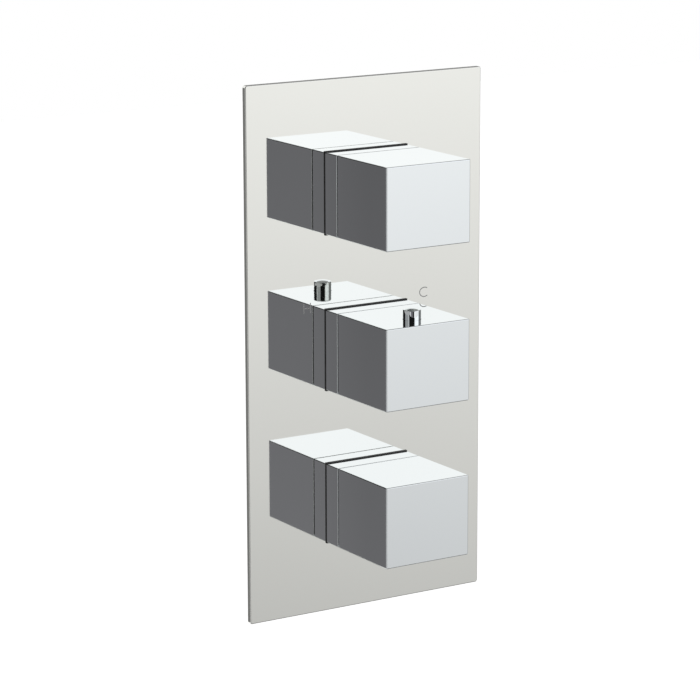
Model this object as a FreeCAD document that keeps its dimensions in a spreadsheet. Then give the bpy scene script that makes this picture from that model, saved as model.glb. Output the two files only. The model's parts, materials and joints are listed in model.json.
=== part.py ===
"""Wall-mounted thermostatic shower valve: a tall cover plate with three block handles on one upright line.

The top and bottom handles turn quarter-turn ceramic cartridges, and the middle one sets the temperature.
Lengths are millimetres. The part's own frame has its origin at the centre of the mounting bracket's back
face, X to the right, Y into the wall and Z up, so the handles point along -Y.

Each piece is drawn about the axis of its own handle or port: X to the right, Y up and Z out of the wall,
with Z = 0 at the bracket's back. That Z is called depth here. The piece's Placement then stands it up.
"""

import FreeCAD, Part
import math
import os
import re
import Sketcher

SIZES = {
    # face plate and what lies behind it
    "plate_width": 152, "plate_height": 300, "plate_thickness": 3, "plate_corner": 1.2, "plate_edge": 0.5,
    "wall_depth": 70, "seal_thickness": 1, "seal_margin": 2, "seal_width": 6, "plate_hole_play": 1.2,
    # handles and their collars
    "handle_width": 53.4, "handle_height": 45.4, "handle_pitch": 87.5, "handle_reach": 62.6,
    "handle_wall": 3, "handle_face": 4, "handle_corner": 0.5, "handle_rim": 0.5, "handle_back_rim": 0.15,
    "handle_gap": 0.8, "collar_rim": 0.3, "collar_reach": 12.6, "collar_play": 0.35, "collar_seal": 0.85,
    "seal_lip": 0.55,
    "hub_side": 20, "hub_play": 0.2, "hub_fit": 0.05,
    "adaptor_radius": 5.95, "adaptor_clearance": 2.7, "adaptor_margin": 3.5, "adaptor_grip": 12,
    "grub_radius": 2.4, "grub_length": 5.5, "grub_place": 23, "grub_socket": 2.5, "grub_play": 0.1,
    # override button of the temperature handle
    "button_radius": 5, "button_height": 6.3, "button_inset": 16.3, "button_play": 0.15,
    "button_travel": 3, "button_flange": 1.3, "button_flange_thickness": 1.2, "flange_play": 0.35,
    "button_edge": 0.5, "arm_width": 5, "arm_thickness": 1.6, "arm_clearance": 0.4,
    "button_stem": 2, "stem_clearance": 0.15, "overlap": 0.1,
    "button_spring_radius": 3.2, "button_spring_wire": 0.3, "button_spring_turns": 3,
    # sleeves round the cartridges, and the temperature stop
    "sleeve_radius": 18, "sleeve_wall": 2, "sleeve_inset": 2.3, "sleeve_fit": 0.1,
    "sleeve_ring": 0.6, "sleeve_ring_inset": 4, "groove_play": 0.1,
    "stop_spigot": 6, "stop_flange": 6, "stop_bore": 13,
    "lug_height": 4.1, "lug_width": 5, "lug_inset": 0.4, "lug_play": 0.46,
    # brass body
    "tube_depth": 20, "tube_radius": 11.5, "channel_radius": 7, "tube_end": 10, "tube_cap": 3,
    "centre_boss": 19, "boss_behind": 1, "mixing_radius": 10.5, "boss_floor": 3.5,
    "flow_boss": 16.5, "boss_overlap": 4, "nose_length": 5,
    "flow_bore": 12, "seat_hole": 6, "thermostat_bore": 13.1,
    "port_depth": 41, "outlet_radius": 13.5, "outlet_length": 40.5, "inlet_radius": 13, "inlet_reach": 46,
    "port_thread": 9.3, "port_thread_length": 13, "outlet_passage": 6,
    "check_bore": 8.5, "check_room": 2.2, "inlet_passage": 3.2, "inlet_offset": 4.5,
    # mounting bracket
    "bracket_width": 60, "bracket_height": 230, "bracket_thickness": 2.5, "bracket_corner": 4,
    "fixing_radius": 2.75, "fixing_side_margin": 8, "fixing_end_margin": 10,
    "foot_radius": 6, "foot_across": 28, "foot_up": 94, "foot_hole_depth": 16,
    "bracket_screw": 2.5, "bracket_screw_length": 14, "screw_head": 4.7, "screw_play": 0.1,
    "screw_sink": 0.2, "screw_socket": 3, "screw_socket_depth": 1.4,
    # quarter-turn flow cartridges, stacked from the seat in the body to the bush's cap
    "seal_play": 0.1, "seat_seal_length": 4.5, "seat_seal_wall": 2.7,
    "disc_thickness": 2.8, "disc_radius": 8.5, "disc_play": 0.1, "disc_hole": 2.2, "disc_hole_circle": 4.4,
    "window_gap": 0.6, "window_height": 5, "window_width": 6,
    "driver_gap": 0.5, "driver_thickness": 3.4, "bush_cap": 6, "cage_radius": 10, "cage_gap": 1,
    "hex_clearance": 1, "flange_thickness": 3.2, "washer_thickness": 0.8, "washer_width": 1,
    "thread_fit": 0.1, "thread_length": 9.8,
    "prong_radius": 1.2, "prong_inset": 2.1, "prong_play": 0.15, "prong_depth": 1.4,
    "spindle_radius": 4, "spindle_play": 0.05, "spindle_end_play": 0.5,
    "ring_groove": 1.05, "ring_groove_width": 1.2, "ring_thickness": 1,
    "ring_inset": 2.5, "ring_spacing": 4, "temperature_ring_inset": 1.8, "temperature_ring_spacing": 2.4,
    "clip_radius": 6, "clip_thickness": 1, "clip_play": 0.3, "clip_groove": 0.6, "clip_gap": 5,
    # thermostatic cartridge, stacked from the shuttle at the inlets to the housing's cap
    "cartridge_play": 0.1, "cartridge_hex_clearance": 0.4, "shuttle_play": 0.1,
    "lip_thickness": 1.2, "lip_bore": 4.9, "groove_width": 4, "groove_depth": 1.2, "port_hole": 1.9,
    "housing_ring": 0.5, "housing_ring_margin": 2.7, "ring_room": 3.5,
    "shuttle_radius": 8.5, "shuttle_length": 8.8, "shuttle_wall": 1, "web_thickness": 1.8,
    "web_hole": 1.5, "web_hole_circle": 5.6,
    "bulb_radius": 3.5, "bulb_room": 5, "bulb_flange": 4.6, "bulb_flange_thickness": 1.5,
    "bulb_pin": 1.5, "bulb_cap": 6.5, "bulb_cap_play": 0.2, "bulb_cap_thickness": 1.2,
    "overload_radius": 5.2, "overload_wire": 0.4, "overload_turns": 2, "overload_length": 3.8,
    "return_radius": 5.4, "return_wire": 0.45, "return_turns": 4,
    "nut_length": 4, "nut_play": 0.2, "nut_room": 1.6, "screw_radius": 3, "screw_end": 0.6,
    "screw_flange": 6, "screw_flange_thickness": 1.7, "chamber_cap": 2,
    # check valves in the two inlets, placed from the mouth inwards
    "filter_gap": 0.2, "filter_length": 2.5, "filter_wall": 1, "filter_mesh": 0.5,
    "check_fit": 0.1, "check_length": 8.9, "check_seat": 4.2, "check_wall": 1.8,
    "check_seat_thickness": 1.5, "check_hole": 1.3, "check_hole_circle": 4.3, "guide_play": 0.1,
    "poppet_radius": 5.2, "poppet_thickness": 1.5, "poppet_stem": 1.5, "poppet_play": 0.05,
    "check_spring_radius": 2.6, "check_spring_wire": 0.2, "check_spring_turns": 4,
    "spring_play": 0.05,
}

PLACES = {
    # depths along a handle's axis, from the wall plate outwards
    "plate_back": "wall_depth + seal_thickness",
    "plate_front": "plate_back + plate_thickness",
    "plate_hole": "sleeve_radius + plate_hole_play",
    "collar_back": "plate_front + collar_seal",
    "collar_front": "plate_front + collar_reach",
    "collar_bore": "sleeve_radius + collar_play",
    "handle_back": "collar_front + handle_gap",
    "handle_front": "plate_front + handle_reach",
    "cavity_front": "handle_front - handle_face",
    "cavity_half_height": "handle_height / 2 - handle_wall",
    "sleeve_front": "collar_front - sleeve_inset",
    "sleeve_ring_place": "sleeve_front - sleeve_ring_inset",
    "sleeve_bore": "sleeve_radius - sleeve_wall",
    "nose_radius": "sleeve_bore - sleeve_fit",
    "stop_front": "sleeve_front + stop_flange",
    "lug_depth": "sleeve_radius - lug_inset - lug_play - hub_side / sqrt(2)",
    "hub_back": "stop_front + hub_play",
    "adaptor_front": "cavity_front - adaptor_margin",
    "adaptor_back": "clip_back + clip_thickness + adaptor_clearance",
    "hub_bore": "adaptor_radius + hub_fit",
    "hub_bore_front": "adaptor_front + 1",
    "grub_depth": "handle_back + grub_place",
    "button_depth": "handle_front - button_inset",
    "button_flange_radius": "button_radius + button_flange",
    "button_flange_top": "cavity_half_height - flange_play",
    "button_flange_bottom": "button_flange_top - button_flange_thickness",
    "arm_bottom": "button_flange_bottom - arm_thickness",
    "arm_tip": "stop_front + lug_height + arm_clearance",
    "stem_start": "adaptor_radius + button_travel + stem_clearance",
    # brass body
    "centre_boss_back": "tube_depth - tube_radius - boss_behind",
    "mixing_back": "centre_boss_back + boss_floor",
    "flow_boss_back": "tube_depth + boss_overlap",
    "nose_front": "cartridge_chamber_front + chamber_cap",
    "boss_front": "nose_front - nose_length",
    "thermostat_floor": "housing_back - clip_play",
    "flow_floor": "nose_front - bush_cap - flow_stack",
    "hot_depth": "port_depth - inlet_offset",
    "cold_depth": "port_depth + inlet_offset",
    "fixing_across": "bracket_width - 2 * fixing_side_margin",
    "fixing_up": "bracket_height - 2 * fixing_end_margin",
    # flow cartridge
    "flow_stack": "seal_play + seat_seal_length + 2 * (disc_play + disc_thickness) + window_gap + window_height"
    " + driver_gap + driver_thickness + disc_play",
    "seat_seal_back": "flow_floor + seal_play",
    "seat_seal_front": "seat_seal_back + seat_seal_length",
    "fixed_disc_back": "seat_seal_front + disc_play",
    "moving_disc_back": "fixed_disc_back + disc_thickness + disc_play",
    "moving_disc_front": "moving_disc_back + disc_thickness",
    "moving_disc_radius": "disc_radius - disc_play",
    "window_back": "moving_disc_front + window_gap",
    "driver_back": "window_back + window_height + driver_gap",
    "driver_radius": "moving_disc_radius - disc_play",
    "cage_back": "flow_floor + cage_gap",
    "cage_bore": "disc_radius + disc_play",
    "cage_chamber_front": "driver_back + driver_thickness + disc_play",
    "bush_thread": "flow_bore - thread_fit",
    "flange_back": "nose_front + washer_thickness",
    "flange_front": "flange_back + flange_thickness",
    "thread_back": "flange_back - thread_length",
    "hex_flats": "(sleeve_bore - hex_clearance) * sqrt(3)",
    "prong_circle": "moving_disc_radius - prong_inset",
    "spindle_bore": "spindle_radius + spindle_play",
    "spindle_front": "adaptor_back + adaptor_grip - spindle_end_play",
    "ring_floor": "spindle_radius - ring_groove",
    "ring_centre": "spindle_radius - ring_thickness / 2",
    "inner_ring_place": "cage_chamber_front + ring_inset",
    "clip_back": "flange_front + clip_play",
    "clip_bore": "spindle_radius - clip_groove + spindle_play",
    # thermostatic cartridge
    "housing_radius": "thermostat_bore - cartridge_play",
    "housing_back": "hot_depth - groove_width / 2 - ring_room - housing_ring_margin",
    "housing_flange_front": "nose_front + flange_thickness + washer_thickness",
    "lip_front": "housing_back + lip_thickness",
    "cartridge_hex": "(sleeve_bore - cartridge_hex_clearance) * sqrt(3)",
    "cartridge_bore": "shuttle_radius + shuttle_play",
    "shuttle_back": "port_depth - shuttle_length / 2",
    "shuttle_front": "port_depth + shuttle_length / 2",
    "web_back": "port_depth - web_thickness / 2",
    "web_front": "port_depth + web_thickness / 2",
    "bulb_back": "mixing_back + bulb_room",
    "bulb_flange_back": "web_front + spring_play",
    "bulb_cap_back": "shuttle_front + bulb_cap_play",
    "bulb_cap_front": "bulb_cap_back + bulb_cap_thickness",
    "nut_back": "bulb_cap_front + overload_length",
    "nut_radius": "cartridge_bore - nut_play",
    "screw_back": "nut_back - screw_end",
    "screw_flange_back": "nut_back + nut_length + nut_room",
    "cartridge_chamber_front": "screw_flange_back + screw_flange_thickness + disc_play",
    "temperature_ring_place": "cartridge_chamber_front + temperature_ring_inset",
    # check valves
    "check_radius": "check_bore - check_fit",
    "check_guide": "poppet_stem + guide_play",
    "filter_place": "port_thread_length + filter_gap",
    "check_place": "filter_place + filter_length + filter_gap",
    "check_bore_end": "check_place + check_length + check_room",
}

STAND_UP = FreeCAD.Rotation(FreeCAD.Vector(1, 0, 0), 90)
ALONG = {
    "Z": FreeCAD.Rotation(),
    "X": FreeCAD.Rotation(FreeCAD.Vector(0, 1, 0), 90),
    "Y": FreeCAD.Rotation(FreeCAD.Vector(1, 0, 0), -90),
}
CLOSE = 1e-4  # how near two measured lengths are when they are the same
HANDLES = {"top": "handle_pitch", "middle": "0", "bottom": "-handle_pitch"}
FLOW_HANDLES = ("top", "bottom")
SPINDLE_RINGS = {
    "flow": ("inner_ring_place", "inner_ring_place + ring_spacing"),
    "temperature": ("temperature_ring_place", "temperature_ring_place + temperature_ring_spacing"),
}

doc = FreeCAD.newDocument("ShowerValve")
sheet = doc.addObject("Spreadsheet::Sheet", "Sizes")
for row, (alias, size) in enumerate(SIZES.items(), start=1):
    sheet.set(f"A{row}", alias)
    sheet.set(f"B{row}", str(size))
    sheet.setAlias(f"B{row}", alias)
doc.recompute()

nodes = []


def spelled(text):
    """A formula with each place written out and each size read from the sheet."""

    def swap(match):
        word = match.group(0)
        if word in PLACES:
            return f"({spelled(PLACES[word])})"
        return f"Sizes.{word}" if word in SIZES else word

    return re.sub(r"[a-z_]+", swap, str(text))


def value(text):
    """The number that a formula gives with the sheet's present sizes."""
    return float(sheet.evalExpression(spelled(text).replace("Sizes.", "")))


def bind(item, **formulas):
    """Tie properties of an object to the sheet."""
    for name, text in formulas.items():
        item.setExpression(name, spelled(text))


def bind_place(item, x="0", y="0", z="0"):
    """Tie an object's position to the sheet and leave its rotation."""
    for letter, text in zip("xyz", (x, y, z)):
        if text != "0":
            item.setExpression(f".Placement.Base.{letter}", spelled(text))


def keep(item, label, x="0", y="0", z="0", turn=STAND_UP):
    """Name a finished piece, stand it in its place and list it as a node."""
    item.Label = label
    item.Placement = FreeCAD.Placement(FreeCAD.Vector(), turn)
    bind_place(item, x, y, z)
    nodes.append(item)
    return item


# ---- plain solids and booleans -------------------------------------------------------------------


def rod(name, radius, start, length, x="0", y="0", along="Z"):
    """A cylinder; start is where it begins on the axis that it lies along."""
    item = doc.addObject("Part::Cylinder", name)
    bind(item, Radius=radius, Height=length)
    item.Placement = FreeCAD.Placement(FreeCAD.Vector(), ALONG[along])
    places = {"Z": (x, y, start), "X": (start, x, y), "Y": (x, start, y)}[along]
    bind_place(item, *places)
    return item


def block(name, width, height, length, start, x="0", y="0"):
    """A box centred on x and y that begins at the depth start."""
    item = doc.addObject("Part::Box", name)
    bind(item, Length=width, Width=height, Height=length)
    bind_place(item, f"({x}) - ({width}) / 2", f"({y}) - ({height}) / 2", start)
    return item


def hexagon(name, flats, start, length, along="Z"):
    """A six-sided bar measured across its flats."""
    item = doc.addObject("Part::Prism", name)
    item.Polygon = 6
    bind(item, Circumradius=f"({flats}) / sqrt(3)", Height=length)
    item.Placement = FreeCAD.Placement(FreeCAD.Vector(), ALONG[along])
    places = {"Z": ("0", "0", start), "Y": ("0", start, "grub_depth")}[along]
    bind_place(item, *places)
    return item


def joined(name, items):
    """One solid made of several that overlap."""
    item = doc.addObject("Part::MultiFuse", name)
    item.Shapes = items
    item.Refine = True
    return item


def cut(name, base, tools):
    """The base less every tool."""
    item = doc.addObject("Part::Cut", name)
    item.Base = base
    item.Tool = tools[0] if len(tools) == 1 else joined(f"{name}_tools", tools)
    return item


def group(name, items):
    """Separate solids that share one node."""
    item = doc.addObject("Part::Compound", name)
    item.Links = items
    return item


# ---- sketches and the bodies made from them ------------------------------------------------------


def plane(body, role):
    """One of the body's own origin planes."""
    return next(item for item in body.Origin.OriginFeatures if item.Role == role)


def sketch_on(body, name, role="XY_Plane", depth="0"):
    """An empty sketch on a body's origin plane, lifted by depth along the plane's normal."""
    sketch = body.newObject("Sketcher::SketchObject", name)
    sketch.AttachmentSupport = [(plane(body, role), "")]
    sketch.MapMode = "FlatFace"
    if depth != "0":
        sketch.setExpression(".AttachmentOffset.Base.z", spelled(depth))
    return sketch


def constrain(sketch, kind, *where, size=None):
    """Add a constraint, and tie it to the sheet where it has a size."""
    if size is None:
        return sketch.addConstraint(Sketcher.Constraint(kind, *where))
    number = sketch.addConstraint(Sketcher.Constraint(kind, *where, value(size)))
    sketch.setExpression(f"Constraints[{number}]", spelled(size))
    return number


def draw_rectangle(sketch, width, height):
    """A rectangle centred on the sketch's origin."""
    half_width, half_height = value(width) / 2, value(height) / 2
    corners = [
        FreeCAD.Vector(sx * half_width, sy * half_height, 0)
        for sx, sy in ((-1, -1), (1, -1), (1, 1), (-1, 1))
    ]
    first = sketch.GeometryCount
    for n in range(4):
        sketch.addGeometry(Part.LineSegment(corners[n], corners[(n + 1) % 4]))
    for n in range(4):
        constrain(sketch, "Coincident", first + n, 2, first + (n + 1) % 4, 1)
        constrain(sketch, "Vertical" if n % 2 else "Horizontal", first + n)
    constrain(sketch, "Symmetric", first, 1, first + 2, 1, -1, 1)
    constrain(sketch, "DistanceX", first, 1, first, 2, size=width)
    constrain(sketch, "DistanceY", first + 1, 1, first + 1, 2, size=height)


def draw_circle(sketch, radius, x="0", y="0"):
    """A circle whose centre lies on the sketch's origin, or at x and y, which aren't negative."""
    centre = FreeCAD.Vector(value(x), value(y), 0)
    circle = sketch.addGeometry(Part.Circle(centre, FreeCAD.Vector(0, 0, 1), value(radius)))
    if x == "0" and y == "0":
        constrain(sketch, "Coincident", circle, 3, -1, 1)
    else:
        for kind, axis, text in (("DistanceX", -2, x), ("DistanceY", -1, y)):
            if text == "0":
                constrain(sketch, "PointOnObject", circle, 3, axis)
            else:
                constrain(sketch, kind, -1, 1, circle, 3, size=text)
    constrain(sketch, "Radius", circle, size=radius)
    return circle


def pad(body, name, sketch, length):
    """Raise a sketch along its normal."""
    item = body.newObject("PartDesign::Pad", name)
    item.Profile = sketch
    bind(item, Length=length)
    doc.recompute()
    return item


def pocket(body, name, sketch, length=None, reverse=False):
    """Cut a sketch into the body, right through where no length is given, and see that it cut."""
    before = body.Shape.Volume
    item = body.newObject("PartDesign::Pocket", name)
    item.Profile = sketch
    item.Reversed = reverse
    if length is None:
        item.Type = "ThroughAll"
    else:
        bind(item, Length=length)
    doc.recompute()
    if not body.Shape.Volume < before - 1e-6:
        raise RuntimeError(f"{body.Name}: {name} cut nothing")
    return item


def round_edges(body, name, radius, chosen):
    """Fillet the edges of the body's last feature for which chosen is true."""
    last = body.Tip
    names = [f"Edge{n}" for n, edge in enumerate(last.Shape.Edges, start=1) if chosen(edge)]
    if not names:
        raise RuntimeError(f"{body.Name}: {name} found no edge")
    item = body.newObject("PartDesign::Fillet", name)
    item.Base = (last, names)
    bind(item, Radius=radius)
    doc.recompute()
    return item


def outer_corner(width, height):
    """A test for the four long edges of a block of this width and height."""
    half_width, half_height = value(width) / 2, value(height) / 2

    def chosen(edge):
        box = edge.BoundBox
        upright = box.XLength < CLOSE and box.YLength < CLOSE
        return upright and abs(abs(box.XMin) - half_width) < CLOSE and abs(abs(box.YMin) - half_height) < CLOSE

    return chosen


def outside_rim(width, height, depth):
    """A test for the edges round a block's outside that lie at one depth, at its front or its back."""
    half_width, half_height, level = value(width) / 2, value(height) / 2, value(depth)

    def chosen(edge):
        box = edge.BoundBox
        flat = abs(box.ZMin - level) < CLOSE and abs(box.ZMax - level) < CLOSE
        x = max(abs(box.XMin), abs(box.XMax))
        y = max(abs(box.YMin), abs(box.YMax))
        return flat and (abs(x - half_width) < CLOSE or abs(y - half_height) < CLOSE)

    return chosen


def stairs(start, runs):
    """Corner points of a stepped outline: each run is a radius and the depth where it ends."""
    points, depth = [], start
    for radius, end in runs:
        points += [(radius, depth), (radius, end)]
        depth = end
    return points


def turned(name, start, runs, bores=None):
    """A lathe-turned piece: stepped outside, and stepped bore where bores are given."""
    if bores is None:
        points = [("0", start), *stairs(start, runs), ("0", runs[-1][1])]
    else:
        points = stairs(start, runs) + stairs(start, bores)[::-1]
    body = doc.addObject("PartDesign::Body", name)
    sketch = sketch_on(body, f"{name}_outline", "XZ_Plane")
    corners = [FreeCAD.Vector(value(radius), value(depth), 0) for radius, depth in points]
    for n, corner in enumerate(corners):
        sketch.addGeometry(Part.LineSegment(corner, corners[(n + 1) % len(corners)]))
    for n, (radius, depth) in enumerate(points):
        constrain(sketch, "Coincident", n, 2, (n + 1) % len(points), 1)
        if radius == "0":
            constrain(sketch, "PointOnObject", n, 1, -2)
        else:
            constrain(sketch, "DistanceX", -1, 1, n, 1, size=radius)
        if depth == "0":
            constrain(sketch, "PointOnObject", n, 1, -1)
        else:
            constrain(sketch, "DistanceY", -1, 1, n, 1, size=depth)
    spin = body.newObject("PartDesign::Revolution", f"{name}_turn")
    spin.Profile = sketch
    spin.ReferenceAxis = (sketch, ["V_Axis"])
    spin.Angle = 360
    return body


def ring(name, inner, outer, start, end):
    """A plain turned ring."""
    return turned(name, start, [(outer, end)], [(inner, end)])


def o_ring(name, centre, thickness, depth):
    """A round-section ring."""
    item = doc.addObject("Part::Torus", name)
    bind(item, Radius1=centre, Radius2=f"({thickness}) / 2")
    bind_place(item, z=depth)
    return item


# ---- coil springs --------------------------------------------------------------------------------


def biarc(start, start_way, end, end_way):
    """Two arcs that leave start along start_way and reach end along end_way."""
    chord, ways = end - start, start_way + end_way
    along = chord.dot(ways)
    spread = 2 * (1 - start_way.dot(end_way))
    reach = (math.sqrt(along**2 + spread * chord.dot(chord)) - along) / spread
    corners = (start + start_way * reach, end - end_way * reach)
    joint = (corners[0] + corners[1]) * 0.5
    arcs = []
    for low, corner, high in ((start, corners[0], joint), (joint, corners[1], end)):
        middle = (low + high) * 0.5
        lean = (high - low).Length / 2 / reach
        arcs.append(Part.Arc(low, middle + (corner - middle) * (lean / (1 + lean)), high).toShape())
    return arcs


def coil(name, radius, wire, start, end, turns):
    """A compression spring about the Z axis, one unbroken tube on biarcs of half a turn."""
    radius, wire, turns = value(radius), value(wire), value(turns)
    low, high = value(start) + wire, value(end) - wire
    halves = round(2 * turns)
    rise = (high - low) / halves

    def point(half):
        return FreeCAD.Vector(radius * math.cos(math.pi * half), radius * math.sin(math.pi * half), low + rise * half)

    def way(half):
        turn = math.pi * half
        across = math.pi * radius
        return FreeCAD.Vector(-across * math.sin(turn), across * math.cos(turn), rise).normalize()

    arcs = []
    for half in range(halves):
        arcs += biarc(point(half), way(half), point(half + 1), way(half + 1))
    samples = [p for arc in arcs for p in arc.discretize(12)[:-1]]
    far_apart = len(samples) // halves
    gap = min(
        (p - q).Length for n, p in enumerate(samples) for q in samples[n + far_apart :]
    ) - 2 * wire
    print(f"{name}: {turns:g} turns, least gap between turns {gap:.2f} mm")
    profile = Part.Wire(Part.Circle(point(0), way(0), wire).toShape())
    item = doc.addObject("Part::Feature", name)
    item.Shape = Part.Wire(arcs).makePipeShell([profile], True, False)
    return item


# ---- wall side: bracket, seal and plate ----------------------------------------------------------


def make_bracket():
    """The back plate that is screwed to the wall, and the screws that hold the body on it."""
    body = doc.addObject("PartDesign::Body", "bracket_plate")
    sketch = sketch_on(body, "bracket_outline")
    draw_rectangle(sketch, "bracket_width", "bracket_height")
    pad(body, "bracket_pad", sketch, "bracket_thickness")
    round_edges(body, "bracket_corners", "bracket_corner", outer_corner("bracket_width", "bracket_height"))
    tools, screws = [], []
    for side in (1, -1):
        for end in (1, -1):
            corner = f"{'left' if side < 0 else 'right'}_{'lower' if end < 0 else 'upper'}"
            x, y = f"{side} * fixing_across / 2", f"{end} * fixing_up / 2"
            tools.append(rod(f"fixing_hole_{corner}", "fixing_radius", "-1", "bracket_thickness + 2", x, y))
            x, y = f"{side} * foot_across / 2", f"{end} * foot_up / 2"
            tools.append(
                rod(f"screw_hole_{corner}", "bracket_screw + screw_play", "-1", "bracket_thickness + 2", x, y)
            )
            tools.append(countersink(f"sink_{corner}", "screw_play", x, y))
            shank = rod(f"shank_{corner}", "bracket_screw", "screw_sink", "bracket_screw_length", x, y)
            head = countersink(f"head_{corner}", "0", x, y)
            side_length = "4 * screw_head"
            below = block(f"below_{corner}", *(side_length,) * 3, f"screw_sink - {side_length}", x, y)
            socket = rod(f"socket_{corner}", "screw_socket / 2", "-1", "screw_socket_depth + 1", x, y)
            screws.append(cut(f"screw_{corner}", joined(f"screw_blank_{corner}", [shank, head]), [below, socket]))
    keep(cut("bracket", body, tools), "mounting_bracket")
    keep(group("screws", screws), "bracket_screws")


def countersink(name, play, x, y):
    """The cone of a countersunk screw's head, larger by play for its seat."""
    item = doc.addObject("Part::Cone", name)
    bind(
        item,
        Radius1=f"screw_head + {play}",
        Radius2=f"bracket_screw + {play}",
        Height="screw_head - bracket_screw",
    )
    bind_place(item, x, y, "0")
    return item


def make_plate():
    """The cover plate and the frame-shaped seal between it and the wall."""
    seal = doc.addObject("PartDesign::Body", "seal")
    outside = sketch_on(seal, "seal_outline", depth="wall_depth")
    draw_rectangle(outside, "plate_width - 2 * seal_margin", "plate_height - 2 * seal_margin")
    inner_margin = "2 * (seal_margin + seal_width)"
    draw_rectangle(outside, f"plate_width - {inner_margin}", f"plate_height - {inner_margin}")
    pad(seal, "seal_pad", outside, "seal_thickness")
    keep(seal, "plate_seal")

    plate = doc.addObject("PartDesign::Body", "plate")
    outline = sketch_on(plate, "plate_outline", depth="plate_back")
    draw_rectangle(outline, "plate_width", "plate_height")
    pad(plate, "plate_pad", outline, "plate_thickness")
    holes = sketch_on(plate, "plate_holes", depth="plate_back")
    upper = draw_circle(holes, "plate_hole", y="handle_pitch")
    draw_circle(holes, "plate_hole")
    centre = FreeCAD.Vector(0, -value("handle_pitch"), 0)
    lower = holes.addGeometry(Part.Circle(centre, FreeCAD.Vector(0, 0, 1), value("plate_hole")))
    constrain(holes, "Symmetric", upper, 3, lower, 3, -1, 1)
    constrain(holes, "Equal", upper, lower)
    pocket(plate, "plate_cut", holes, reverse=True)
    round_edges(plate, "plate_corners", "plate_corner", outer_corner("plate_width", "plate_height"))
    round_edges(plate, "plate_rim", "plate_edge", outside_rim("plate_width", "plate_height", "plate_front"))
    keep(plate, "face_plate")


# ---- brass body ----------------------------------------------------------------------------------


def make_valve_body():
    """The casting: an upright channel, three bosses, two side inlets, two end outlets and four feet."""
    full = "2 * (handle_pitch + tube_end)"
    solids = [
        rod("tube", "tube_radius", "-handle_pitch - tube_end", full, "0", "tube_depth", along="Y"),
        rod("centre_boss_blank", "centre_boss", "centre_boss_back", "boss_front - centre_boss_back"),
        rod("centre_nose", "nose_radius", "boss_front - 1", "nose_front - boss_front + 1"),
        rod("inlets_blank", "inlet_radius", "-inlet_reach", "2 * inlet_reach", "0", "port_depth", along="X"),
    ]
    hollows = [
        rod(
            "channel", "channel_radius", f"-({full}) / 2 + tube_cap", f"{full} - 2 * tube_cap",
            "0", "tube_depth", along="Y",
        ),
        rod("mixing_chamber", "mixing_radius", "mixing_back", "thermostat_floor - mixing_back + 1"),
        rod("thermostat_seat", "thermostat_bore", "thermostat_floor", "nose_front - thermostat_floor + 1"),
    ]
    for name in FLOW_HANDLES:
        y, sign = HANDLES[name], "" if name == "top" else "-"
        solids += [
            rod(f"{name}_boss", "flow_boss", "flow_boss_back", "boss_front - flow_boss_back", "0", y),
            rod(f"{name}_nose", "nose_radius", "boss_front - 1", "nose_front - boss_front + 1", "0", y),
        ]
        hollows += [
            rod(f"{name}_seat_hole", "seat_hole", "tube_depth", "flow_floor - tube_depth + 1", "0", y),
            rod(f"{name}_seat", "flow_bore", "flow_floor", "nose_front - flow_floor + 1", "0", y),
        ]
        runs = (
            (solids, "outlet", "outlet_radius", "0", "outlet_length"),
            (hollows, "passage", "outlet_passage", "flow_bore - 2", "outlet_length - flow_bore + 1"),
            (hollows, "thread", "port_thread", "outlet_length - port_thread_length", "port_thread_length + 1"),
        )
        for where, kind, radius, start, length in runs:
            first = f"{y} + ({start})" if sign == "" else f"{y} - ({start}) - ({length})"
            where.append(rod(f"{name}_{kind}", radius, first, length, "0", "port_depth", along="Y"))
    for name, side, depth in (("hot", "-", "hot_depth"), ("cold", "", "cold_depth")):
        runs = (
            ("thread", "port_thread", "-1", "port_thread_length + 1", "port_depth"),
            ("check_seat", "check_bore", "1", "check_bore_end - 1", "port_depth"),
            ("passage", "inlet_passage", "check_bore_end - 1", "inlet_reach - check_bore_end", depth),
        )
        for kind, radius, start, length, level in runs:
            first = f"inlet_reach - ({start}) - ({length})" if side == "" else f"-inlet_reach + ({start})"
            hollows.append(rod(f"{name}_{kind}", radius, first, length, "0", level, along="X"))
    for side in (1, -1):
        for end in (1, -1):
            x, y = f"{side} * foot_across / 2", f"{end} * foot_up / 2"
            corner = f"{side}_{end}".replace("-", "m")
            start = "bracket_thickness"
            solids.append(rod(f"foot_{corner}", "foot_radius", start, f"tube_depth - {start} + 2", x, y))
            hollows.append(
                rod(f"foot_hole_{corner}", "bracket_screw + screw_play / 2", "0", "foot_hole_depth", x, y)
            )
    keep(cut("casting", joined("casting_blank", solids), hollows), "valve_body")


# ---- sleeves, collars and the temperature stop ---------------------------------------------------


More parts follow.
